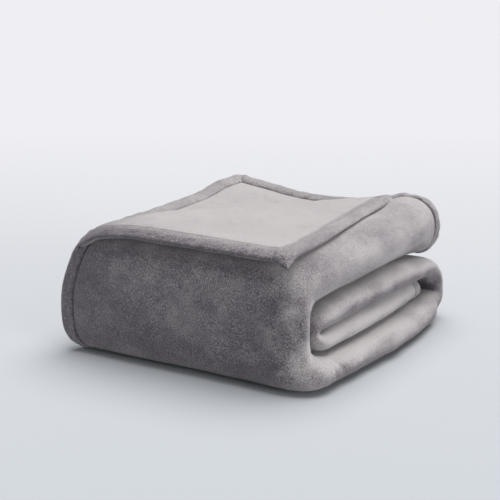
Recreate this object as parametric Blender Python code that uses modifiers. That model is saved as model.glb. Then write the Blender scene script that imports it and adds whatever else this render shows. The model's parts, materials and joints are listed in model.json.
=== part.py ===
"""A plush throw, folded into four plies and rolled into a block, with one corner turned back.

The throw is a single hemmed sheet. Folding it in half twice makes a strip of four plies,
whose left end holds two hemmed edges and a fold, and whose right end is a rounded nose.
The strip then rolls up: a middle run in the heart of the block, a fold at the front, the
upper run, the back fold, the bottom run, the front cover and last the top cover. The outer
ply's corner is turned back over the top as a flap.

Axes: X runs from the hemmed end (-X) to the rounded noses (+X), Y from front to back, and
Z up. The origin is on the floor, at the centre of the block.
"""

import math

import bmesh
import bpy
from mathutils import Vector
from mathutils.geometry import intersect_line_line_2d

# Driving dimensions, in metres.
WIDTH = 0.334
DEPTH = 0.358
HEIGHT = 0.158
HEM_WIDTH = 0.019
STITCH_GROOVE = 0.0018
THREAD_RADIUS = 0.0006
THREAD_SINK = 0.0010
GAP = 0.0003

# Thickness of each four-ply run and where the runs lie above the floor.
BOTTOM_THICKNESS = 0.0380
FRONT_THICKNESS = 0.0300
MIDDLE_LOW = 0.0385
MIDDLE_HIGH = 0.0650
UPPER_LOW = 0.0662
UPPER_HIGH = 0.1030
COVER_LOW = 0.1045
COVER_HIGH = 0.1485
PLY_SHARE = 0.225
INNER_EDGE_RADIUS = 0.003

# Where the runs begin and end, front to back.
CORE_FRONT = -DEPTH / 2 + FRONT_THICKNESS + 0.0015
INNER_END = 0.107
COVER_END = 0.174

# The corner flap, seen from above: the crest of its fold runs from its front end to its
# back end, and the free corner of the throw lies near the front right.
FLAP_FRONT_END = Vector((-0.150, -0.172))
FLAP_CORNER = Vector((0.137, -0.178))
FLAP_BACK_END = Vector((0.098, 0.162))
FLAP_PANEL_THICKNESS = 0.0070
FLAP_LOW = COVER_HIGH + GAP

# Edges softened on the flat pieces, and how far each thread stops short of the cloth's ends.
PANEL_EDGE = 0.001
HEM_EDGE = 0.002
THREAD_INSET = 0.004
SECOND_PLY_FRONT = -0.140
LEFT_THREAD_FRONT = -0.130
BACK_THREAD_END = 0.045
SHOULDER_THREAD_START = 0.012
INNER_PLY_SETBACK = 0.002
INNER_CHANNEL_SETBACK = 0.003
HEM_STEPS = 6

# Steps in the round parts.
NOSE_STEPS = 10
FOLD_STEPS = 14
EDGE_STEPS = 5

LEFT = -WIDTH / 2
RIGHT = WIDTH / 2
FRONT = -DEPTH / 2
BACK = DEPTH / 2
PLY_LEFT = LEFT + HEM_WIDTH + STITCH_GROOVE

# How far in from a sewn edge the hem, the thread and the cloth beyond the groove begin.
INSETS = (0.0, HEM_WIDTH, HEM_WIDTH + STITCH_GROOVE / 2, HEM_WIDTH + STITCH_GROOVE)

PLUSH_DARK = (0.095, 0.088, 0.098)
PLUSH_MID = (0.27, 0.26, 0.265)
PLUSH_LIGHT = (0.50, 0.48, 0.47)
THREAD_GREY = (0.16, 0.15, 0.16)


def clear_scene():
    for obj in list(bpy.data.objects):
        bpy.data.objects.remove(obj)


def new_collection(name, hidden=False):
    collection = bpy.data.collections.new(name)
    collection.hide_render = hidden
    bpy.context.scene.collection.children.link(collection)
    return collection


def cloth_material(name, colour, roughness):
    material = bpy.data.materials.new(name)
    material.use_nodes = True
    shader = material.node_tree.nodes["Principled BSDF"]
    shader.inputs["Base Color"].default_value = (*colour, 1.0)
    shader.inputs["Roughness"].default_value = roughness
    shader.inputs["Metallic"].default_value = 0.0
    material.diffuse_color = (*colour, 1.0)
    return material


def half_turn(centre_x, radius, middle, thickness, steps):
    """Points of a nose, from the outer face round to the inner one, as (x, share of depth)."""
    points = []
    for step in range(steps + 1):
        angle = math.pi * step / steps
        depth = middle - radius * math.cos(angle)
        points.append((centre_x + radius * math.sin(angle), depth / thickness))
    return points


def outer_section(thickness, left=PLY_LEFT):
    """Two plies joined by the outer nose: a channel that is open towards the hemmed end."""
    ply = PLY_SHARE * thickness
    nose = thickness / 2
    centre_x = RIGHT - nose
    outside = half_turn(centre_x, nose, nose, thickness, NOSE_STEPS)
    inside = half_turn(centre_x, nose - ply, nose, thickness, NOSE_STEPS)
    share = ply / thickness
    back = LEFT + INNER_PLY_SETBACK
    return (
        [(left, 0.0)]
        + outside
        + [(back, 1.0), (back, 1.0 - share)]
        + inside[::-1]
        + [(left, share)]
    )


def inner_section(thickness, left=LEFT + INNER_CHANNEL_SETBACK):
    """The two plies that lie inside the channel, joined by the inner nose."""
    ply = PLY_SHARE * thickness + GAP
    nose = thickness / 2
    round_side = half_turn(RIGHT - nose, nose - ply, nose, thickness, NOSE_STEPS)
    share = ply / thickness
    return [(left, share)] + round_side + [(left, 1.0 - share)]


def hem_section(thickness):
    """The outer ply's hem: as deep as the ply, with its free edge rounded."""
    deep = PLY_SHARE * thickness
    radius = deep / 2
    points = []
    for step in range(HEM_STEPS + 1):
        angle = math.pi * step / HEM_STEPS
        depth = radius + radius * math.cos(angle)
        points.append((LEFT + radius - radius * math.sin(angle), depth / thickness))
    return points + [(LEFT + HEM_WIDTH, 0.0), (LEFT + HEM_WIDTH, deep / thickness)]


def round_edge(centre, outer, inner, start, end, steps):
    """Stations round a fold: pairs of an outer and an inner point, as (y, z)."""
    stations = []
    for step in range(steps + 1):
        angle = math.radians(start + (end - start) * step / steps)
        way = Vector((math.cos(angle), math.sin(angle)))
        outside = centre + Vector((way.x * outer[0], way.y * outer[1]))
        stations.append((outside, centre + way * inner))
    return stations


def level_run(y_from, y_to, outer_z, inner_z):
    return [(Vector((y, outer_z)), Vector((y, inner_z))) for y in (y_from, y_to)]


def sweep(name, section, stations, material, collection):
    """Extrudes the section from station to station: depth 0 is the outer point, 1 the inner."""
    bm = bmesh.new()
    rings = [
        [Vector((x, *outer.lerp(inner, depth))) for x, depth in section]
        for outer, inner in stations
    ]
    face = bm.faces.new([bm.verts.new(point) for point in rings[0]])
    first = face
    for ring in rings[1:]:
        made = bmesh.ops.extrude_face_region(bm, geom=[face])["geom"]
        if face.is_valid and face is not first:
            bm.faces.remove(face)
        face = next(item for item in made if isinstance(item, bmesh.types.BMFace))
        for vert, point in zip(face.verts, ring):
            vert.co = point
    bmesh.ops.recalc_face_normals(bm, faces=bm.faces)
    mesh = bpy.data.meshes.new(name)
    bm.to_mesh(mesh)
    bm.free()
    mesh.shade_smooth()
    mesh.set_sharp_from_angle(angle=math.radians(35))
    mesh.materials.append(material)
    obj = bpy.data.objects.new(name, mesh)
    collection.objects.link(obj)
    return obj


def thread(name, points, material, collection):
    curve = bpy.data.curves.new(name, "CURVE")
    curve.dimensions = "3D"
    curve.bevel_depth = THREAD_RADIUS
    curve.bevel_resolution = 1
    curve.use_fill_caps = True
    spline = curve.splines.new("POLY")
    spline.points.add(len(points) - 1)
    for point, place in zip(spline.points, points):
        point.co = (*place, 1.0)
    curve.materials.append(material)
    obj = bpy.data.objects.new(name, curve)
    collection.objects.link(obj)
    return obj


def flat_piece(name, outline, low, high, material, collection, rounding=0.0):
    """A closed outline seen from above, given a thickness and soft edges."""
    curve = bpy.data.curves.new(name, "CURVE")
    curve.dimensions = "2D"
    curve.fill_mode = "BOTH"
    curve.extrude = (high - low) / 2
    spline = curve.splines.new("POLY")
    spline.points.add(len(outline) - 1)
    for point, corner in zip(spline.points, outline):
        point.co = (corner[0], corner[1], 0.0, 1.0)
    spline.use_cyclic_u = True
    curve.materials.append(material)
    obj = bpy.data.objects.new(name, curve)
    obj.location.z = (high + low) / 2
    collection.objects.link(obj)
    if rounding:
        weld = obj.modifiers.new("Weld", "WELD")
        weld.merge_threshold = 0.00001
        bevel = obj.modifiers.new("Bevel", "BEVEL")
        bevel.width = rounding
        bevel.segments = 2
    return obj


def thickness_of(stations):
    outer, inner = stations[0]
    return (outer - inner).length


def shorten(stations, start=GAP / 2, end=GAP / 2):
    """Draws the ends of a run back, so that it stops short of its neighbours."""
    trimmed = [(outer.copy(), inner.copy()) for outer, inner in stations]
    for index, beyond, by in ((0, 1, start), (-1, -2, end)):
        for side in (0, 1):
            point = trimmed[index][side]
            way = stations[beyond][side] - stations[index][side]
            point += way.normalized() * by
    return trimmed


def make_run(name, stations, thickness, cloth, collection):
    """A four-ply run: the outer plies, the plies inside them and the outer ply's hem."""
    ends = shorten(stations)
    made = [
        sweep(name + "_outer_plies", outer_section(thickness), ends, cloth["face"], collection),
        sweep(name + "_inner_plies", inner_section(thickness), ends, cloth["inside"], collection),
        sweep(name + "_hem", hem_section(thickness), ends, cloth["hem"], collection),
    ]
    return made


def core_stations():
    """The runs in the heart of the block, from the inner end to the back fold."""
    fold_radius = (UPPER_HIGH - MIDDLE_LOW) / 2
    fold_centre = Vector((CORE_FRONT + fold_radius, (UPPER_HIGH + MIDDLE_LOW) / 2))
    turn_radius = UPPER_HIGH / 2
    turn_centre = Vector((BACK - turn_radius, turn_radius))
    recess_radius = (UPPER_LOW - BOTTOM_THICKNESS) / 2
    return {
        "middle_run": level_run(INNER_END - HEM_WIDTH, fold_centre.x, MIDDLE_LOW, MIDDLE_HIGH),
        "front_fold": round_edge(
            fold_centre, (fold_radius, fold_radius), 0.0006, 270, 90, FOLD_STEPS
        ),
        "upper_run": level_run(fold_centre.x, turn_centre.x, UPPER_HIGH, UPPER_LOW),
        "back_fold": round_edge(
            turn_centre, (turn_radius, turn_radius), recess_radius, 90, -90, FOLD_STEPS
        ),
        "bottom_run": level_run(turn_centre.x, FRONT + FRONT_THICKNESS + INNER_EDGE_RADIUS,
                                0.0, BOTTOM_THICKNESS)
        + front_bottom_edge(270, 225)[1:],
    }


def front_bottom_edge(start, end):
    centre = Vector((FRONT + FRONT_THICKNESS, BOTTOM_THICKNESS)) + Vector((1, 1)) * INNER_EDGE_RADIUS
    outer = (FRONT_THICKNESS + INNER_EDGE_RADIUS, BOTTOM_THICKNESS + INNER_EDGE_RADIUS)
    return round_edge(centre, outer, INNER_EDGE_RADIUS, start, end, EDGE_STEPS)


def front_top_edge(start, end):
    centre = Vector((FRONT + FRONT_THICKNESS, COVER_LOW)) + Vector((1, -1)) * INNER_EDGE_RADIUS
    outer = (
        FRONT_THICKNESS + INNER_EDGE_RADIUS,
        COVER_HIGH - COVER_LOW + INNER_EDGE_RADIUS,
    )
    return round_edge(centre, outer, INNER_EDGE_RADIUS, start, end, EDGE_STEPS)


def line_between(start, end, inset):
    """Two points of the line that runs beside start-end, the inset to its left."""
    way = (end - start).normalized()
    side = Vector((-way.y, way.x)) * inset
    return start + side, end + side


def crossing(first, second):
    return intersect_line_line_2d(*stretch(first), *stretch(second))


def stretch(line):
    start, end = line
    way = (end - start).normalized()
    return start - way, end + way


def flap_outlines():
    """The flap's panel and its two hems, seen from above, and the two stitch lines."""
    crest = line_between(FLAP_BACK_END, FLAP_FRONT_END, 0.0)
    front = {inset: line_between(FLAP_FRONT_END, FLAP_CORNER, inset) for inset in INSETS}
    side = {inset: line_between(FLAP_CORNER, FLAP_BACK_END, inset) for inset in INSETS}
    edge, hem, stitch, panel = INSETS
    return {
        "panel": [
            crossing(front[panel], side[panel]),
            crossing(side[panel], crest),
            crossing(crest, front[panel]),
        ],
        "front_hem": [
            crossing(front[edge], side[edge]),
            crossing(side[edge], front[hem]),
            crossing(front[hem], crest),
            crossing(crest, front[edge]),
        ],
        "side_hem": [
            crossing(side[edge], front[stitch]),
            crossing(side[edge], crest),
            crossing(crest, side[hem]),
            crossing(side[hem], front[stitch]),
        ],
        "front_stitch": [crossing(crest, front[stitch]), crossing(front[stitch], side[hem])],
        "side_stitch": [crossing(front[panel], side[stitch]), crossing(side[stitch], crest)],
    }


def cut_back_left(objects, cutters):
    """Takes away the part of the outer ply that the flap was folded back from."""
    outline = [
        FLAP_FRONT_END,
        FLAP_BACK_END,
        FLAP_BACK_END + (FLAP_BACK_END - FLAP_FRONT_END) * 0.2,
        Vector((2 * LEFT, BACK * 1.5)),
        Vector((2 * LEFT, FLAP_FRONT_END.y)),
    ]
    ply = PLY_SHARE * (COVER_HIGH - COVER_LOW)
    low = COVER_HIGH - ply - GAP / 2
    bm = bmesh.new()
    face = bm.faces.new([bm.verts.new((corner.x, corner.y, low)) for corner in outline])
    made = bmesh.ops.extrude_face_region(bm, geom=[face])["geom"]
    tops = [item for item in made if isinstance(item, bmesh.types.BMVert)]
    bmesh.ops.translate(bm, verts=tops, vec=(0, 0, HEIGHT - low))
    bmesh.ops.recalc_face_normals(bm, faces=bm.faces)
    mesh = bpy.data.meshes.new("back_left_cutter")
    bm.to_mesh(mesh)
    bm.free()
    cutter = bpy.data.objects.new("back_left_cutter", mesh)
    cutter.hide_render = True
    cutter.display_type = "WIRE"
    cutters.objects.link(cutter)
    for obj in objects:
        cut = obj.modifiers.new("Turned back corner", "BOOLEAN")
        cut.operation = "DIFFERENCE"
        cut.object = cutter


def make_core(cloth, collection):
    middle = MIDDLE_HIGH - MIDDLE_LOW
    upper = UPPER_HIGH - UPPER_LOW
    thickness = {
        "middle_run": middle,
        "front_fold": (middle + upper) / 2,
        "upper_run": upper,
        "back_fold": (upper + BOTTOM_THICKNESS) / 2,
        "bottom_run": BOTTOM_THICKNESS,
    }
    runs = core_stations()
    for name, stations in runs.items():
        make_run(name, stations, thickness[name], cloth, collection)
    end = level_run(INNER_END, INNER_END - HEM_WIDTH + STITCH_GROOVE, MIDDLE_LOW, MIDDLE_HIGH)
    sweep("inner_end_hem", outer_section(middle), end, cloth["hem"], collection)
    sweep("inner_end_inner_hem", inner_section(middle), end, cloth["hem"], collection)


def make_front_cover(cloth, collection):
    stations = front_bottom_edge(225, 180) + front_top_edge(180, 135)
    make_run("front_cover", stations, FRONT_THICKNESS, cloth, collection)
    route = [
        (PLY_LEFT - STITCH_GROOVE / 2, *(outer + (inner - outer).normalized() * THREAD_SINK))
        for outer, inner in shorten(stations)
    ]
    thread("front_cover_hem_stitching", route, cloth["thread"], collection)


def make_top_cover(cloth, collection, cutters):
    thickness = COVER_HIGH - COVER_LOW
    hem_start = COVER_END - HEM_WIDTH
    flat = (COVER_HIGH, COVER_LOW)
    stations = front_top_edge(135, 90) + level_run(0.0, hem_start - STITCH_GROOVE, *flat)[1:]
    ends = shorten(stations, end=0.0)
    back = level_run(hem_start, COVER_END, *flat)
    plies = outer_section(thickness)
    outer = sweep("top_cover_outer_plies", plies, ends, cloth["face"], collection)
    shoulder = sweep("shoulder_hem", plies, back, cloth["hem"], collection)
    hem = sweep("top_cover_hem", hem_section(thickness), ends, cloth["hem"], collection)
    cut_back_left([outer, shoulder, hem], cutters)
    inside = inner_section(thickness, left=PLY_LEFT)
    sweep("top_cover_inner_plies", inside, ends, cloth["light"], collection)
    deep = thickness * PLY_SHARE
    second_top = COVER_HIGH - deep - GAP
    second_low = second_top - deep
    hem_right = LEFT + HEM_WIDTH
    left_hem = [(LEFT, SECOND_PLY_FRONT), (hem_right, SECOND_PLY_FRONT), (hem_right, COVER_END),
                (LEFT, COVER_END)]
    flat_piece("second_ply_left_hem", left_hem, second_low, second_top, cloth["hem"], collection,
               HEM_EDGE)
    nose_start = RIGHT - thickness / 2
    back_hem = [(PLY_LEFT, hem_start), (nose_start, hem_start), (nose_start, COVER_END),
                (PLY_LEFT, COVER_END)]
    flat_piece("second_ply_back_hem", back_hem, second_low, second_top, cloth["hem"], collection,
               HEM_EDGE)
    make_cover_stitching(second_top, hem_start, cloth, collection)


def make_cover_stitching(second_top, hem_start, cloth, collection):
    left = PLY_LEFT - STITCH_GROOVE / 2
    groove_y = hem_start - STITCH_GROOVE / 2
    level = second_top - THREAD_SINK
    along_left = [(left, LEFT_THREAD_FRONT, level), (left, hem_start - THREAD_INSET, level)]
    thread("second_ply_left_stitching", along_left, cloth["thread"], collection)
    along_back = [
        (PLY_LEFT + THREAD_INSET, groove_y, level),
        (RIGHT - BACK_THREAD_END, groove_y, level),
    ]
    thread("second_ply_back_stitching", along_back, cloth["thread"], collection)
    thickness = COVER_HIGH - COVER_LOW
    nose = thickness / 2
    arc = half_turn(RIGHT - nose, nose - THREAD_SINK, nose, thickness, NOSE_STEPS)
    route = [(FLAP_BACK_END.x + SHOULDER_THREAD_START, groove_y, COVER_HIGH - THREAD_SINK)]
    route += [(x, groove_y, COVER_HIGH - depth * thickness) for x, depth in arc]
    thread("shoulder_hem_stitching", route, cloth["thread"], collection)


def make_flap(cloth, collection):
    outlines = flap_outlines()
    panel_top = FLAP_LOW + FLAP_PANEL_THICKNESS
    flat_piece("corner_flap_panel", outlines["panel"], FLAP_LOW, panel_top, cloth["light"],
               collection, PANEL_EDGE)
    for name in ("front_hem", "side_hem"):
        flat_piece("corner_flap_" + name, outlines[name], FLAP_LOW, HEIGHT, cloth["hem"],
                   collection, HEM_EDGE)
    for name in ("front_stitch", "side_stitch"):
        start, end = outlines[name]
        way = (end - start).normalized() * THREAD_INSET
        route = [(*(start + way), panel_top), (*(end - way), panel_top)]
        thread("corner_flap_" + name + "ing", route, cloth["thread"], collection)


def main():
    clear_scene()
    collection = new_collection("folded_throw")
    cutters = new_collection("cutters", hidden=True)
    cloth = {
        "face": cloth_material("plush_face", PLUSH_DARK, 0.9),
        "inside": cloth_material("plush_inside", PLUSH_MID, 0.9),
        "light": cloth_material("plush_reverse", PLUSH_LIGHT, 0.9),
        "hem": cloth_material("plush_hem", PLUSH_MID, 0.9),
        "thread": cloth_material("hem_thread", THREAD_GREY, 0.6),
    }
    make_core(cloth, collection)
    make_front_cover(cloth, collection)
    make_top_cover(cloth, collection, cutters)
    make_flap(cloth, collection)


main()
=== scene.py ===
"""A folded plush throw: one hemmed sheet, folded to four plies, rolled up, one corner turned back.

The cloth is built the way such a throw is folded. A mid-surface of the whole sheet is laid out
on a grid: across it run the four plies of the strip, with the outer nose, the left fold and the
inner nose between them, and along it runs the rolled strip, from the end in the heart of the
roll to the end on top. Half the cloth's thickness to either side, hems, grooves and creases
included, gives its two faces. The sheet is then divided at the bodies' borders.

Everything is in metres: X from the hemmed end to the noses, Y from front to back, Z up.
"""

import json
import math

import bpy
import numpy as np
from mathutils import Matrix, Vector, noise


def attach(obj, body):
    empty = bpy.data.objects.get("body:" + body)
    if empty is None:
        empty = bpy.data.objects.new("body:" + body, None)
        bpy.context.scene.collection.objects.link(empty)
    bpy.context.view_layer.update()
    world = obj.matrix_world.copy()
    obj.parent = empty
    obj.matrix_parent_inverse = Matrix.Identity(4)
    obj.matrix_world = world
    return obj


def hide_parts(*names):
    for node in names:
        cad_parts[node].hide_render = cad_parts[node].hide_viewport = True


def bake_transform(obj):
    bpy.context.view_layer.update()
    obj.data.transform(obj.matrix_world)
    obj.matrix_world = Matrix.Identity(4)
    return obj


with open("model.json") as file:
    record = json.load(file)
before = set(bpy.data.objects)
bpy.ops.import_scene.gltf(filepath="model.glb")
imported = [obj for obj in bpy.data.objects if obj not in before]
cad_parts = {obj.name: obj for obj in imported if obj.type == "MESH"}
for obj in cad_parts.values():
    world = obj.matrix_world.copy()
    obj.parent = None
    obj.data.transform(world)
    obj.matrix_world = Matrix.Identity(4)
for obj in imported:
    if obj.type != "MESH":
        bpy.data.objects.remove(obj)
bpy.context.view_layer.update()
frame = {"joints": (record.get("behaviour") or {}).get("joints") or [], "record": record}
MM = 0.001

# The throw. Its hem is a usual size, not measured from the photo.
HEM_WIDTH = 19 * MM
GROOVE_WIDTH = 1.25 * MM
GROOVE_DEPTH = 0.42
HEM_BEAD = 0.26
HEM_LUMPS = 0.22
PLY_FILL = 0.93
STITCH_LENGTH = 3.4 * MM
STITCH_GAP = 1.2 * MM
HEM_ROUND = 7 * MM
THREAD_RADIUS = 0.42 * MM
TABLE_GAP = 0.2 * MM

# The side view of the roll, in millimetres, from the strip's inner end to its end on top:
# outer face (y, z), inner face (y, z), left end x, right end x.
ROLL = [
    (119, 33.5, 119, 61, -153, 160),
    (66, 34, 66, 63, -153, 163),
    (0, 34.5, 0, 63.5, -153, 165),
    (-60, 35, -60, 64, -153, 164),
    (-110, 36, -112, 63, -153, 161),
    (-135, 39, -134, 61, -153, 161),
    (-148, 50, -139, 61.5, -153, 157),
    (-151, 62, -140, 62.5, -153, 154),
    (-147, 75, -138, 64, -153, 155),
    (-130, 86, -128, 64.5, -154, 159),
    (-84, 91.5, -88, 64.5, -155, 163),
    (-20, 94, -20, 64.5, -156, 167),
    (40, 93.5, 40, 64, -156, 169),
    (90, 89.5, 92, 62, -155, 170),
    (128, 85.5, 120, 61, -154, 170),
    (155, 78, 138, 57, -154, 170),
    (173, 62, 147, 51, -155, 170),
    (179, 42, 149, 43, -156, 170),
    (174, 20, 146, 37, -155, 171),
    (156, 5, 130, 34, -153, 172),
    (125, 0, 112, 32, -151, 178),
    (80, 0, 80, 33, -150, 182),
    (0, 0, 0, 34, -150, 183),
    (-80, 0, -80, 34, -152, 179),
    (-132, 0, -125, 35, -154, 174),
    (-162, 2, -142, 37, -158, 171),
    (-176, 9, -148, 41, -165, 165),
    (-182, 24, -150, 47, -172, 156),
    (-183, 50, -151, 60, -176, 152),
    (-183, 78, -151.5, 76, -175, 152),
    (-182, 104, -151, 84, -167, 152),
    (-178, 126, -149, 85, -159, 153),
    (-171, 139, -143, 89, -152, 154),
    (-157, 146.5, -131, 92, -149, 156),
    (-130, 149, -112, 94, -149, 159),
    (-70, 150, -70, 95.5, -150, 161),
    (0, 150, 0, 95.5, -152, 162),
    (70, 149.5, 70, 92.5, -154, 162),
    (120, 149, 120, 88, -155, 162),
    (150, 148, 150, 84.5, -152, 161),
    (180, 145, 176, 82, -149, 160),
]
STATION_SPACING = 4.6 * MM

# How far the plies that the turned corner bares rise, and how the whole block has settled.
BARED_LIFT = 4.5 * MM
FRONT_BULGE = 4 * MM
BACK_LEAN = 0.035
LEFT_CORNER_LIFT = 13 * MM
RIGHT_BACK_LIFT = 9 * MM
LOW_CORNER_PULL = 7 * MM
FAN_CENTRE = (-0.146, 0.036)
FAN_DEPTH = 0.7 * MM
SLACK_DEPTH = 1.6 * MM
WAVES = ((0.11, 2.2 * MM, 1), (0.045, 1.1 * MM, 2), (0.018, 0.30 * MM, 3))

# Where the strip passes from body to body, as rows of ROLL.
ROW_UNDER_FRONT = 23.0
ROW_MID_FRONT = 28.7
ROW_OVER_FRONT = 35.0

# Painted light on the plush: the way towards the light, along which the faces turned to it are
# painted lighter, and how much darker it is in the hems and, as painted shade, in the stitched
# grooves.
PAINTED_LIGHT_WAY = np.array([0.36, 0.32, 0.87])
HEM_DARKER = 0.50
GROOVE_PAINTED_SHADE = 0.32

# Soft lighter and darker patches, as a centre, a reach (both mm) and a change. They were set by
# comparing the render's brightness with the photo's. Some are brushed pile. Others stand in for
# light and shade: in the mouth, under the flap's hem, at the shoulder and the corners.
TONE_PATCHES = [
    ((150, 20, 138), (40, 130, 20), -0.72),
    ((166, 0, 112), (30, 150, 12), 0.60),
    ((155, 10, 77), (35, 120, 13), -0.60),
    ((145, -10, 48), (32, 105, 14), 0.90),
    ((155, 20, 8), (45, 150, 22), -0.78),
    ((150, 148, 32), (60, 22, 20), -0.70),
    ((136, -174, 112), (18, 24, 45), 0.42),
    ((146, -172, 35), (13, 24, 45), 0.42),
    ((143, -138, 143), (24, 44, 18), -0.85),
    ((160, -165, 112), (20, 26, 30), -0.30),
    ((20, -184, 15), (150, 22, 42), -0.26),
    ((-150, -184, 80), (80, 22, 80), -0.20),
    ((-110, -150, 158), (55, 44, 20), -0.40),
    ((30, -182, 152), (150, 12, 12), -0.42),
    ((0, -180, 137), (150, 14, 9), -0.36),
    ((134, -60, 156), (13, 130, 14), -0.30),
]

# The lamps, as a name, the way towards it, its strength and how wide it looks in degrees.
LAMPS = [
    ("softbox", (0.03, 0.42, 1.6), 4.1, 60),
    ("side_panel", (1.0, -0.25, 0.1), 2.1, 34),
]
LAMP_COLOUR = (1.0, 0.985, 0.97)
SURROUND_COLOUR = (0.94, 0.97, 1.0, 1)
SURROUND_STRENGTH = 0.36
# The floor's colour grows lighter with depth, from near to far: painted light.
FLOOR_NEAR = (0.384, 0.409, 0.436, 1)
FLOOR_FAR = (0.515, 0.516, 0.54, 1)
# The plush's two colours are lit and shaded copies of one grey: painted shade and painted light.
PLUSH_PAINTED_SHADE = (0.080, 0.066, 0.085)
PLUSH_PAINTED_LIGHT = (0.525, 0.495, 0.497)
THREAD_DARK = (0.10, 0.094, 0.10, 1)
THREAD_LIGHT = (0.20, 0.19, 0.195, 1)

# The camera, placed so that the render lines up with the photo. The lens is in mm.
CAMERA_PLACE = (0.7808, -1.36, 0.5216)
CAMERA_YAW = math.radians(30.5)
CAMERA_PITCH = math.radians(14.9)
CAMERA_SENSOR = 36
CAMERA_LENS = 95.112

# Distances from a sewn edge that the grid needs to draw the hem and its groove.
HEM_STEPS = np.array(
    [0, 0.4, 1.2, 2.4, 4, 6.5, 9.5, 12.5, 15.5, 17.2, 18.4, 19.2, 20, 20.8, 21.7, 23.2, 26]
) * MM
GROOVE_STEP = 12
PLIES = {"a": 1 / 8, "d": 3 / 8, "c": 5 / 8, "b": 7 / 8}

# The corner flap.
CORNER = next(joint for joint in frame["joints"] if joint["name"] == "corner_unfolds")
CREST_START = np.array(CORNER["pos_m"])
CREST_WAY = -np.array(CORNER["axis"])
CREST_INSET = 9 * MM
CREST_TOPS = [149.5, 158, 163.5, 161.5, 159, 158, 157.5, 156.5, 155.5, 155]
FLAP_HALF = 4.7 * MM
FLAP_ROUND = 12 * MM
FLAP_FRONT = np.array([-0.153, -0.184])
FLAP_TIP = np.array([0.138, -0.186])
FLAP_BACK = np.array([0.104, 0.176])
FLAP_TOP = 157.8 * MM
FLAP_UNDERSIDE = 143.5 * MM
FLAP_DROOP = 3.5 * MM
FLAP_LIFT = 2.6 * MM
FLAP_WAVES = ((0.09, 1.3 * MM, 31), (0.035, 0.7 * MM, 32))


def smoothstep(low, high, value):
    part = np.clip((value - low) / (high - low), 0, 1)
    return part * part * (3 - 2 * part)


def bump(value, centre, width):
    return np.exp(-(((value - centre) / width) ** 2))


def noise_field(points, size, seed):
    """Smooth noise from -1 to 1 at each point; size is the scale of its features."""
    flat = points.reshape(-1, 3) / size + seed * 17.3
    values = np.array([noise.noise(Vector(point)) for point in flat])
    return values.reshape(points.shape[:-1])


def spline(rows, at):
    """Catmull-Rom through the rows, read at fractional row numbers."""
    rows = np.asarray(rows, float)
    last = len(rows) - 1
    index = np.clip(np.floor(at).astype(int), 0, last - 1)
    part = (at - index)[:, None]
    before = rows[np.clip(index - 1, 0, last)]
    start = rows[index]
    end = rows[index + 1]
    after = rows[np.clip(index + 2, 0, last)]
    return 0.5 * (
        2 * start
        + (end - before) * part
        + (2 * before - 5 * start + 4 * end - after) * part**2
        + (3 * start - before - 3 * end + after) * part**3
    )


def strip_stations():
    """Stations along the strip: their rows in ROLL, their distance along it and their table."""
    fine = np.linspace(0, len(ROLL) - 1, 4000)
    table = spline(ROLL, fine) * MM
    middle = table[:, 0:2] * 0.75 + table[:, 2:4] * 0.25
    steps = np.linalg.norm(np.diff(middle, axis=0), axis=1)
    run = np.concatenate([[0], np.cumsum(steps)])
    length = run[-1]
    count = int((length - 2 * HEM_STEPS[-1]) / STATION_SPACING)
    inner = np.linspace(HEM_STEPS[-1], length - HEM_STEPS[-1], count)[1:-1]
    places = np.concatenate([HEM_STEPS, inner, length - HEM_STEPS[::-1]])
    rows = np.interp(places, run, fine)
    return rows, places, spline(ROLL, rows) * MM


def lateral_lines():
    """The grid lines across the sheet, as (part, distance from its sewn edge, share of rest)."""
    lines = [("a", step, 0.0) for step in HEM_STEPS]
    lines += [("a", HEM_STEPS[-1], share) for share in np.linspace(0, 1, 58)[1:]]
    lines += [("nose", 0, share) for share in np.linspace(0, 1, 23)[1:-1]]
    lines += [("b", 0, share) for share in np.linspace(0, 1, 18)]
    lines += [("fold", 0, share) for share in np.linspace(0, 1, 7)[1:-1]]
    lines += [("c", 0, share) for share in np.linspace(0, 1, 12)]
    lines += [("inner_nose", 0, share) for share in np.linspace(0, 1, 7)[1:-1]]
    lines += [("d", HEM_STEPS[-1], share) for share in np.linspace(1, 0, 34)[:-1]]
    lines += [("d", step, 0.0) for step in HEM_STEPS[::-1]]
    return lines


def crest_x(y):
    """Where the flap's crest lies at a distance from the front."""
    return CREST_START[0] + CREST_WAY[0] / CREST_WAY[1] * (y - CREST_START[1])


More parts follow.
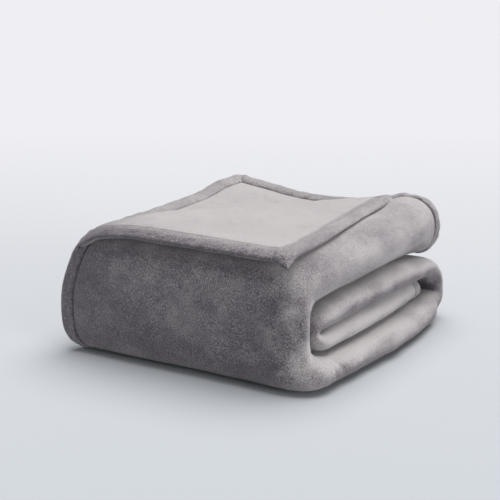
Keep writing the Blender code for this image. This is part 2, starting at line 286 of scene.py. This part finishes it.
def mid_surface():
    """The folded sheet's mid-surface, line by line across it and station by station along it."""
    rows, places, table = strip_stations()
    outer, inner = table[:, 0:2], table[:, 2:4]
    left, right = table[:, 4], table[:, 5]
    thickness = np.linalg.norm(outer - inner, axis=1)
    half = thickness / 8 * PLY_FILL
    on_top = smoothstep(32.0, 33.0, rows)
    crest = np.maximum(crest_x(outer[:, 0]), left)
    left_a = left + (crest + 3 * MM - left) * on_top
    fuller_front = 0.6 * bump(rows, 29.7, 2.4)
    shorter_end = 0.35 * smoothstep(36.0, 40.0, rows)
    long_nose = thickness * (0.8 + fuller_front - shorter_end)
    short_nose = thickness * 0.42
    tip = right - half
    inner_tip = right - thickness * (0.36 + 1.3 * bump(rows, 18.6, 1.8))
    fold_reach = thickness / 8
    squeeze = np.clip((tip - long_nose - left_a) / (HEM_STEPS[-1] * 1.2), 0.1, 1)
    lines = lateral_lines()
    mid = np.zeros((len(lines), len(rows), 3))
    from_edge = np.full((len(lines), len(rows)), 1.0)
    for number, (part, step, share) in enumerate(lines):
        if part == "a":
            hem = left_a + step * squeeze
            x = hem + share * (tip - long_nose - hem)
            depth = PLIES["a"]
            from_edge[number] = x - left_a
        elif part == "nose":
            angle = math.pi * share
            reach = long_nose if share < 0.5 else short_nose
            x = tip - reach + reach * math.sin(angle)
            depth = 0.5 - 0.375 * math.cos(angle)
        elif part == "b":
            x = tip - short_nose + share * (left + fold_reach - tip + short_nose)
            depth = PLIES["b"]
        elif part == "fold":
            x = left + fold_reach - fold_reach * 0.6 * math.sin(math.pi * share)
            depth = 0.75 + 0.125 * math.cos(math.pi * share)
        elif part == "c":
            x = left + fold_reach + share * (inner_tip - left - 2 * fold_reach)
            depth = PLIES["c"]
        elif part == "inner_nose":
            x = inner_tip - fold_reach + fold_reach * math.sin(math.pi * share)
            depth = 0.5 + 0.125 * math.cos(math.pi * share)
        else:
            x = left + step + share * (inner_tip - fold_reach - left - step)
            depth = PLIES["d"]
            from_edge[number] = x - left
        mid[number, :, 0] = x
        mid[number, :, 1:] = outer + (inner - outer) * depth
        if part != "a":
            bare = on_top * smoothstep(-4 * MM, 14 * MM, crest - x)
            mid[number, :, 2] += bare * 1.6 * (1 - depth) * BARED_LIFT
    from_end = np.minimum(places, places[-1] - places)
    from_edge = np.minimum(from_edge, from_end[None, :])
    bare = on_top * smoothstep(-2 * MM, 12 * MM, crest - mid[..., 0])
    second_ply = np.array([part == "d" for part, _, _ in lines])[:, None]
    near_hem = 1 - smoothstep(HEM_WIDTH * 0.7, HEM_WIDTH * 1.15, from_edge)
    mid[..., 2] += second_ply * bare * near_hem * BARED_LIFT
    return rows, places, mid, from_edge, half, lines


def settle(points):
    """How the folded cloth bulges, leans and sags: moved points."""
    moved = points.copy()
    x, y, z = points[..., 0], points[..., 1], points[..., 2]
    across = np.clip(1 - (x / 0.165) ** 2, 0, 1)
    front = smoothstep(-0.13, -0.16, y) * np.clip(1 - ((z - 0.075) / 0.085) ** 2, 0, 1)
    moved[..., 1] -= FRONT_BULGE * front * across
    back_top = smoothstep(0.10, 0.17, y) * smoothstep(0.08, 0.10, z)
    moved[..., 1] -= back_top * x * BACK_LEAN
    left_corner = smoothstep(0.06, 0.18, y) * smoothstep(-0.02, -0.15, x) * smoothstep(0.1, 0.13, z)
    moved[..., 2] += LEFT_CORNER_LIFT * left_corner
    right_back = smoothstep(0.07, 0.12, x) * smoothstep(0.09, 0.17, y) * smoothstep(0.1, 0.13, z)
    moved[..., 2] += RIGHT_BACK_LIFT * right_back
    low_corner = smoothstep(0.06, 0.14, x) * smoothstep(-0.10, -0.15, y) * smoothstep(0.06, 0.0, z)
    moved[..., 1] -= LOW_CORNER_PULL * low_corner
    around = np.arctan2(z - FAN_CENTRE[1], y - FAN_CENTRE[0])
    away = np.hypot(z - FAN_CENTRE[1], y - FAN_CENTRE[0])
    fan = bump(away, 0.028, 0.020) * smoothstep(0.11, 0.15, x) * smoothstep(0.050, 0.030, z)
    moved[..., 0] += FAN_DEPTH * np.sin(13 * around) * fan
    slack = smoothstep(0.10, 0.14, x) * smoothstep(0.106, 0.100, z)
    sways = noise_field(points * np.array([1, 1, 0.5]), 0.022, 8)
    moved[..., 0] += SLACK_DEPTH * slack * sways
    loose = smoothstep(0.0, 0.03, z)
    for size, depth, seed in WAVES:
        for axis in range(3):
            wave = noise_field(points, size, seed + 5 * axis) * depth
            moved[..., axis] += wave * (loose if axis == 2 else 1)
    return moved


def hem_half(half, from_edge, points, rounding=HEM_ROUND):
    """Half the cloth's thickness near a sewn edge: a lumpy bead, then the stitched groove."""
    lumps = 1 + HEM_LUMPS * noise_field(points, 0.007, 61) * in_hem(from_edge)
    bead = 1 + HEM_BEAD * bump(from_edge, HEM_WIDTH * 0.5, HEM_WIDTH * 0.45)
    groove = 1 - GROOVE_DEPTH * bump(from_edge, HEM_STEPS[GROOVE_STEP], GROOVE_WIDTH)
    round_part = np.clip(from_edge / rounding, 0, 1)
    rim = np.sqrt(np.clip(1 - (1 - round_part) ** 2, 0, 1))
    return half * bead * groove * rim * lumps


def grid_normals(grid):
    across = np.gradient(grid, axis=0)
    along = np.gradient(grid, axis=1)
    normals = np.cross(across, along)
    length = np.linalg.norm(normals, axis=-1, keepdims=True)
    return normals / np.maximum(length, 1e-12)


def sides_of(mid, half):
    """The two faces of the cloth, and the normals of each, pointing out of it."""
    way = grid_normals(mid)
    outside = mid + way * half[..., None]
    inside = mid - way * half[..., None]
    return outside, inside, grid_normals(outside), -grid_normals(inside)


def cloth_piece(name, outside, inside, out_normals, in_normals, from_edge):
    """A closed piece of cloth between its two faces, with the normals given."""
    count_u, count_v = outside.shape[:2]
    size = count_u * count_v
    numbers = np.arange(size).reshape(count_u, count_v)
    top = [
        numbers[:-1, :-1].ravel(), numbers[1:, :-1].ravel(),
        numbers[1:, 1:].ravel(), numbers[:-1, 1:].ravel(),
    ]
    faces = [np.stack(top, axis=1), np.stack(top[::-1], axis=1) + size]
    rim = np.concatenate([
        numbers[:, 0], numbers[-1, 1:], numbers[-2::-1, -1], numbers[0, -2:0:-1],
    ])
    after = np.roll(rim, -1)
    faces.append(np.stack([after, rim, rim + size, after + size], axis=1))
    points = np.concatenate([outside.reshape(-1, 3), inside.reshape(-1, 3)])
    normals = np.concatenate([out_normals.reshape(-1, 3), in_normals.reshape(-1, 3)])
    merged, faces = weld(points, np.concatenate(faces))
    edges = np.tile(from_edge.reshape(-1), 2)[merged]
    mesh = bpy.data.meshes.new(name)
    mesh.from_pydata(points[merged].tolist(), [], faces)
    mesh.shade_smooth()
    mesh.normals_split_custom_set_from_vertices(normals[merged].tolist())
    # The pile's tone with painted light and shade, read by the plush material.
    pile_and_painted_light = mesh.attributes.new("pile_and_painted_light", "FLOAT", "POINT")
    pile_and_painted_light.data.foreach_set("value", pile_and_painted_light_of(points[merged], normals[merged], edges))
    hem = mesh.attributes.new("hem", "FLOAT", "POINT")
    hem.data.foreach_set("value", in_hem(edges).astype(np.float32))
    obj = bpy.data.objects.new(name, mesh)
    bpy.context.scene.collection.objects.link(obj)
    return obj


def pile_and_painted_light_of(points, normals, from_edge):
    """How light the plush reads, from about 0 to 1: the pile's own tone with painted light and
    shade.

    Faces turned to the light are painted lighter, on top and to the right, and faces turned away
    darker; it is darker in the hems, and painted shade darkens the stitched grooves. TONE_PATCHES,
    wide patches of noise, and streaks of noise along the noses are added to that.
    """
    # Painted light: faces turned towards the light are lighter, faces turned away are darker.
    pile_and_painted_light = smoothstep(-0.20, 1.05, normals @ PAINTED_LIGHT_WAY)
    pile_and_painted_light -= HEM_DARKER * pile_and_painted_light * in_hem(from_edge)
    # Painted shade along the stitched grooves.
    pile_and_painted_light -= GROOVE_PAINTED_SHADE * bump(from_edge, HEM_STEPS[GROOVE_STEP], GROOVE_WIDTH)
    for centre, reach, change in TONE_PATCHES:
        away = (points - np.array(centre) * MM) / (np.array(reach) * MM)
        pile_and_painted_light += change * np.exp(-(away**2).sum(axis=-1))
    patches = np.tanh(3 * noise_field(points * np.array([1, 0.7, 1]), 0.030, 40))
    turned = smoothstep(0.09, 0.13, points[:, 0]) * (1 - 0.6 * smoothstep(0.10, 0.13, points[:, 2]))
    streaks = np.tanh(3 * noise_field(points * np.array([1, 0.35, 1.2]), 0.013, 41))
    pile_and_painted_light += 0.15 * patches * (0.2 + turned) + 0.17 * streaks * turned
    return pile_and_painted_light.astype(np.float32)


def in_hem(from_edge):
    return 1 - smoothstep(HEM_WIDTH * 0.9, HEM_WIDTH * 1.02, from_edge)


def weld(points, faces):
    """Joins points that lie together, as on a rounded rim, and drops what collapses."""
    keys = np.round(points / (0.02 * MM)).astype(np.int64)
    _, first, index = np.unique(keys, axis=0, return_index=True, return_inverse=True)
    index = index.reshape(-1)
    kept = []
    for face in index[faces]:
        corners = [int(c) for n, c in enumerate(face) if c != face[n - 1]]
        if len(corners) > 2 and len(set(corners)) == len(corners):
            kept.append(corners)
    return first, kept


def stitches(name, rows_of_points):
    """Dashes of thread along each line of (places, normals), sunk to half their depth."""
    turns = [math.tau * n / 6 for n in range(6)]
    verts, faces = [], []
    for places, normals in rows_of_points:
        steps = np.linalg.norm(np.diff(places, axis=0), axis=1)
        run = np.concatenate([[0], np.cumsum(steps)])
        if run[-1] < 3 * STITCH_LENGTH:
            continue
        starts = np.arange(STITCH_GAP, run[-1] - STITCH_LENGTH, STITCH_LENGTH + STITCH_GAP)
        for start in starts:
            base = len(verts)
            for share, swell in ((0, 0.25), (0.18, 0.9), (0.82, 0.9), (1, 0.25)):
                at = start + share * STITCH_LENGTH
                place = [np.interp(at, run, places[:, axis]) for axis in range(3)]
                normal = [np.interp(at, run, normals[:, axis]) for axis in range(3)]
                ahead = [np.interp(at + MM, run, places[:, axis]) for axis in range(3)]
                place, up = Vector(place), Vector(normal).normalized()
                side = up.cross(Vector(ahead) - place).normalized()
                for turn in turns:
                    way = side * math.cos(turn) + up * math.sin(turn)
                    verts.append(place + way * THREAD_RADIUS * swell)
            for ring in range(3):
                low = base + ring * 6
                faces += [(low + n, low + (n + 1) % 6, low + 6 + (n + 1) % 6, low + 6 + n)
                          for n in range(6)]
            faces.append(tuple(base + n for n in reversed(range(6))))
            faces.append(tuple(base + 18 + n for n in range(6)))
    mesh = bpy.data.meshes.new(name)
    mesh.from_pydata(verts, [], faces)
    mesh.shade_smooth()
    obj = bpy.data.objects.new(name, mesh)
    bpy.context.scene.collection.objects.link(obj)
    return obj


def seam_lines(faces, lines, span):
    """The hem seams that show on one part of the strip, as lines of (places, normals)."""
    outside, inside, out_normals, in_normals = faces
    start, end = span
    kinds = [part for part, _, _ in lines]
    first_d, last_d = kinds.index("d"), len(kinds) - 1
    nose_end = kinds.index("b")
    found = [
        (outside[GROOVE_STEP, start:end], out_normals[GROOVE_STEP, start:end]),
        (inside[last_d - GROOVE_STEP, start:end], in_normals[last_d - GROOVE_STEP, start:end]),
    ]
    for station in (GROOVE_STEP, outside.shape[1] - 1 - GROOVE_STEP):
        if start <= station < end:
            found.append((outside[GROOVE_STEP:nose_end, station],
                          out_normals[GROOVE_STEP:nose_end, station]))
            found.append((inside[first_d:last_d - GROOVE_STEP, station],
                          in_normals[first_d:last_d - GROOVE_STEP, station]))
    return found


def build_strip():
    rows, places, mid, from_edge, half, lines = mid_surface()
    mid = settle(mid)
    half = hem_half(np.broadcast_to(half, from_edge.shape), from_edge, mid)
    faces = sides_of(mid, half)
    for side in faces[:2]:
        side[..., 2] = np.maximum(side[..., 2], TABLE_GAP)
    cuts = [0] + [int(np.searchsorted(rows, row)) for row in
                  (ROW_UNDER_FRONT, ROW_MID_FRONT, ROW_OVER_FRONT)] + [len(rows) - 1]
    names = ("rolled_core", "front_fold_below", "front_fold_above", "top_cover_cloth")
    pieces, seams = {}, {}
    for name, start, end in zip(names, cuts[:-1], cuts[1:]):
        parts = [side[:, start:end + 1] for side in (*faces, from_edge)]
        pieces[name] = cloth_piece(name, *parts)
        pieces[name]["length"] = places[end] - places[start]
        seams[name] = stitches(name + "_stitching", seam_lines(faces, lines, (start, end + 1)))
    return pieces, seams


def flap_grid():
    """The corner flap's mid-surface: from its side hem across to the crest and down round it."""
    along_front = FLAP_FRONT - FLAP_TIP
    along_side = FLAP_BACK - FLAP_TIP
    depth = np.linalg.norm(along_side)
    along_front = along_front / np.linalg.norm(along_front)
    along_side = along_side / depth
    crest_way = CREST_WAY[:2] / np.linalg.norm(CREST_WAY[:2])
    crest_left = np.array([-crest_way[1], crest_way[0]])
    start_of_crest = CREST_START[:2] - crest_left * CREST_INSET
    depths = np.concatenate([HEM_STEPS, np.linspace(HEM_STEPS[-1], depth * 0.985, 74)[1:]])
    shares = np.linspace(0, 1, 60)[1:]
    turns = np.linspace(0, 1, 13)[1:]
    grid = np.zeros((len(HEM_STEPS) + len(shares) + len(turns), len(depths), 3))
    edge = np.ones(grid.shape[:2])
    for column, back in enumerate(depths):
        start = FLAP_TIP + along_side * back
        reach = np.cross(start_of_crest - start, crest_way) / np.cross(along_front, crest_way)
        reach = max(float(reach), 4 * MM)
        squeeze = min(1.0, reach / (HEM_STEPS[-1] * 1.2))
        steps = list(HEM_STEPS * squeeze)
        steps += [steps[-1] + share * (reach - steps[-1]) for share in shares]
        for line, step in enumerate(steps):
            grid[line, column, :2] = start + along_front * step
            edge[line, column] = min(step, back)
        end = grid[len(steps) - 1, column, :2]
        for number, turn in enumerate(turns):
            angle = math.pi * turn
            line = len(steps) + number
            grid[line, column, :2] = end + crest_left * math.sin(angle)
            grid[line, column, 2] = turn
            edge[line, column] = back
    return grid, edge, len(HEM_STEPS) + len(shares)


def flap_height(points):
    """How high the flap's mid-surface lies over each place."""
    x, y = points[..., 0], points[..., 1]
    way = CREST_WAY[:2] / np.linalg.norm(CREST_WAY[:2])
    from_crest = (x - CREST_START[0]) * way[1] - (y - CREST_START[1]) * way[0]
    along = (x - CREST_START[0]) * way[0] + (y - CREST_START[1]) * way[1]
    place = np.clip(along / (50 * MM), 0, len(CREST_TOPS) - 1.001)
    crest = spline(np.array(CREST_TOPS)[:, None], place.ravel()).reshape(x.shape) * MM
    near_crest = np.exp(-np.clip(from_crest, 0, 1) / (40 * MM))
    height = FLAP_TOP + (crest - FLAP_TOP) * near_crest - FLAP_HALF
    near_front = 1 - smoothstep(2 * MM, 19 * MM, y - FLAP_FRONT[1])
    height -= FLAP_DROOP * near_front
    lifted = smoothstep(-0.140, -0.06, x) * (1 - smoothstep(25 * MM, 60 * MM, y - FLAP_FRONT[1]))
    height += FLAP_LIFT * lifted
    height -= 4.0 * MM * smoothstep(-0.118, -0.150, x) * smoothstep(-0.150, -0.180, y)
    height -= 1.5 * MM * smoothstep(0.112, 0.140, x) * smoothstep(-0.10, -0.18, y)
    return height


def build_flap():
    grid, edge, flat_lines = flap_grid()
    turn = grid[flat_lines:, :, 2].copy()
    flat = grid[:flat_lines]
    flat[..., 2] = flap_height(flat)
    crest = flat[-1]
    radius = np.maximum(crest[:, 2] - FLAP_UNDERSIDE, 3 * MM) / 2
    offset = grid[flat_lines:, :, :2] - crest[None, :, :2]
    grid[flat_lines:, :, :2] = crest[None, :, :2] + offset * (radius * 0.9)[None, :, None]
    grid[flat_lines:, :, 2] = crest[:, 2] - radius * (1 - np.cos(math.pi * turn))
    half = hem_half(np.full(edge.shape, FLAP_HALF), edge, grid, FLAP_ROUND)
    grid = grid + flap_ripple(grid)
    elbow = bump(np.linalg.norm(grid[..., :2] - FLAP_FRONT, axis=-1), 0, 26 * MM)
    grid += elbow[..., None] * np.array([3, 2, -6]) * MM
    corner = bump(np.linalg.norm(grid[..., :2] - FLAP_TIP, axis=-1), 0, 12 * MM)
    grid += corner[..., None] * np.array([-2, -2, -5]) * MM
    tail = bump(np.linalg.norm(grid[..., :2] - FLAP_BACK, axis=-1), 0, 16 * MM)
    grid += tail[..., None] * np.array([0, -8, -3]) * MM
    faces = sides_of(grid[::-1], half[::-1])
    cloth = cloth_piece("corner_flap_cloth", *faces, edge[::-1])
    outside, _, normals, _ = faces
    last = outside.shape[0] - 1
    side_seam = last - GROOVE_STEP
    front_seam = slice(last - flat_lines + 1, side_seam + 1)
    seams = stitches("corner_flap_stitching", [
        (outside[side_seam, GROOVE_STEP:-8], normals[side_seam, GROOVE_STEP:-8]),
        (outside[front_seam, GROOVE_STEP], normals[front_seam, GROOVE_STEP]),
    ])
    return cloth, seams


def flap_ripple(points):
    ripple = np.zeros(points.shape)
    for size, depth, seed in FLAP_WAVES:
        ripple[..., 2] += noise_field(points, size, seed) * depth
    return ripple


def plush_material(name, dark, light):
    """Flannel plush: short dense pile, its colour lighter where light is painted on it and darker
    in painted shade, with brushed and mottled patches.
    """
    material = bpy.data.materials.new(name)
    material.use_nodes = True
    nodes = material.node_tree.nodes
    links = material.node_tree.links
    shader = nodes["Principled BSDF"]
    shader.inputs["Roughness"].default_value = 0.95
    shader.inputs["Specular IOR Level"].default_value = 0.12
    shader.inputs["Sheen Weight"].default_value = 0.65
    shader.inputs["Sheen Roughness"].default_value = 0.4
    shader.inputs["Sheen Tint"].default_value = (1.0, 0.96, 0.98, 1.0)
    place = nodes.new("ShaderNodeTexCoord")

    def attribute(attribute_name):
        node = nodes.new("ShaderNodeAttribute")
        node.attribute_name = attribute_name
        return node.outputs["Fac"]

    def noise_node(scale, detail, roughness=0.5, warp=0.0):
        node = nodes.new("ShaderNodeTexNoise")
        node.inputs["Scale"].default_value = scale
        node.inputs["Detail"].default_value = detail
        node.inputs["Roughness"].default_value = roughness
        node.inputs["Distortion"].default_value = warp
        links.new(place.outputs["Object"], node.inputs["Vector"])
        return node.outputs["Fac"]

    def spread(value, low, high, to_low, to_high):
        node = nodes.new("ShaderNodeMapRange")
        for socket, number in zip(node.inputs[1:5], (low, high, to_low, to_high)):
            socket.default_value = number
        links.new(value, node.inputs["Value"])
        return node.outputs["Result"]

    def mottle(scale, detail, roughness, warp, depth):
        return spread(noise_node(scale, detail, roughness, warp), 0.3, 0.7, -depth, depth)

    def add(value, factor, to):
        node = nodes.new("ShaderNodeMath")
        node.operation = "MULTIPLY_ADD"
        if isinstance(factor, float):
            node.inputs[1].default_value = factor
        else:
            links.new(factor, node.inputs[1])
        links.new(value, node.inputs[0])
        links.new(to, node.inputs[2])
        return node.outputs[0]

    # The base colour carries the painted light and shade made with each piece of cloth.
    tone = add(mottle(15, 2, 0.5, 0.9, 0.13), 1.0, attribute("pile_and_painted_light"))
    tone = add(mottle(48, 3, 0.6, 1.0, 0.13), 1.0, tone)
    tone = add(mottle(720, 1, 0.6, 0, 0.40), 1.0, tone)
    tone = add(mottle(300, 1, 0.6, 0.5, 0.16), attribute("hem"), tone)
    # The ramp runs from the painted-shade colour to the painted-light colour.
    ramp = nodes.new("ShaderNodeValToRGB")
    ramp.color_ramp.elements[0].color = (*dark, 1)
    ramp.color_ramp.elements[1].color = (*light, 1)
    links.new(spread(tone, -0.33, 0.975, 0, 1), ramp.inputs["Fac"])
    links.new(ramp.outputs["Color"], shader.inputs["Base Color"])
    pile = add(noise_node(520, 2, 0.7), 0.8, noise_node(1100, 2, 0.6))
    relief = nodes.new("ShaderNodeBump")
    relief.inputs["Strength"].default_value = 0.9
    relief.inputs["Distance"].default_value = 0.0022
    links.new(pile, relief.inputs["Height"])
    links.new(relief.outputs["Normal"], shader.inputs["Normal"])
    return material


def place_camera():
    """The view: 1.57 m off along the floor, from the front right and looking down a little."""
    data = bpy.data.cameras.new("view")
    data.sensor_width = CAMERA_SENSOR
    data.lens = CAMERA_LENS
    data.clip_end = 60
    camera = bpy.data.objects.new("view", data)
    camera.location = CAMERA_PLACE
    camera.rotation_euler = (math.pi / 2 - CAMERA_PITCH, 0, CAMERA_YAW)
    bpy.context.scene.collection.objects.link(camera)
    bpy.context.scene.camera = camera


def light_studio():
    """A wide soft light from above, a weaker one from the right, and a pale surround."""
    world = bpy.data.worlds.new("studio")
    bpy.context.scene.world = world
    world.use_nodes = True
    back = world.node_tree.nodes["Background"]
    back.inputs["Color"].default_value = SURROUND_COLOUR
    back.inputs["Strength"].default_value = SURROUND_STRENGTH
    for name, way, energy, spread in LAMPS:
        data = bpy.data.lights.new(name, "SUN")
        data.angle = math.radians(spread)
        data.energy = energy
        data.color = LAMP_COLOUR
        lamp = bpy.data.objects.new(name, data)
        lamp.rotation_euler = (-Vector(way)).to_track_quat("-Z", "Y").to_euler()
        bpy.context.scene.collection.objects.link(lamp)


def lay_floor():
    """A pale sweep with painted light: its colour grows lighter with depth."""
    bpy.ops.mesh.primitive_plane_add(size=60)
    floor = bpy.context.object
    floor.name = "studio_floor"
    material = bpy.data.materials.new("studio_floor")
    material.use_nodes = True
    nodes, links = material.node_tree.nodes, material.node_tree.links
    shader = nodes["Principled BSDF"]
    shader.inputs["Roughness"].default_value = 0.9
    shader.inputs["Specular IOR Level"].default_value = 0.1
    place = nodes.new("ShaderNodeTexCoord")
    depth = nodes.new("ShaderNodeVectorMath")
    depth.operation = "DOT_PRODUCT"
    depth.inputs[1].default_value = (-0.5, 0.86, 0)
    ramp = nodes.new("ShaderNodeValToRGB")
    span = nodes.new("ShaderNodeMapRange")
    span.inputs["From Min"].default_value = -0.6
    span.inputs["From Max"].default_value = 1.4
    ramp.color_ramp.elements[0].color = FLOOR_NEAR
    ramp.color_ramp.elements[1].color = FLOOR_FAR
    links.new(place.outputs["Object"], depth.inputs[0])
    links.new(depth.outputs["Value"], span.inputs["Value"])
    links.new(span.outputs["Result"], ramp.inputs["Fac"])
    links.new(ramp.outputs["Color"], shader.inputs["Base Color"])
    floor.data.materials.append(material)


def thread_material():
    material = bpy.data.materials.new("hem_thread")
    material.use_nodes = True
    nodes, links = material.node_tree.nodes, material.node_tree.links
    shader = nodes["Principled BSDF"]
    shader.inputs["Roughness"].default_value = 0.6
    shader.inputs["Sheen Weight"].default_value = 0.3
    place = nodes.new("ShaderNodeTexCoord")
    twist = nodes.new("ShaderNodeTexNoise")
    twist.inputs["Scale"].default_value = 900
    links.new(place.outputs["Object"], twist.inputs["Vector"])
    ramp = nodes.new("ShaderNodeValToRGB")
    ramp.color_ramp.elements[0].color = THREAD_DARK
    ramp.color_ramp.elements[1].color = THREAD_LIGHT
    links.new(twist.outputs["Fac"], ramp.inputs["Fac"])
    links.new(ramp.outputs["Color"], shader.inputs["Base Color"])
    return material


def main():
    bpy.context.scene.view_settings.view_transform = "Standard"
    place_camera()
    light_studio()
    lay_floor()
    plush = plush_material("plush", PLUSH_PAINTED_SHADE, PLUSH_PAINTED_LIGHT)
    thread = thread_material()
    pieces, seams = build_strip()
    pieces["corner_flap_cloth"], seams["corner_flap_cloth"] = build_flap()
    bodies = frame["record"]["behaviour"]["bodies"]
    moves = {
        "rolled_core": lambda obj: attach(obj, "inner_roll"),
        "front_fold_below": lambda obj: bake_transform(obj),
        "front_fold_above": lambda obj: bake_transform(obj),
        "top_cover_cloth": lambda obj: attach(obj, "top_cover"),
        "corner_flap_cloth": lambda obj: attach(obj, "corner_flap"),
    }
    stands_for = {
        "rolled_core": bodies["inner_roll"],
        "front_fold_below": bodies["front_cover"],
        "front_fold_above": [],
        "top_cover_cloth": bodies["top_cover"],
        "corner_flap_cloth": bodies["corner_flap"],
    }
    for name, cloth in pieces.items():
        seam = seams[name]
        cloth.data.materials.append(plush)
        seam.data.materials.append(thread)
        moves[name](cloth)
        moves[name](seam)
        nodes = stands_for[name]
        sewn = [node for node in nodes if node.endswith("_stitching")]
        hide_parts(*(node for node in nodes if node not in sewn))
        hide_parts(*sewn)


main()
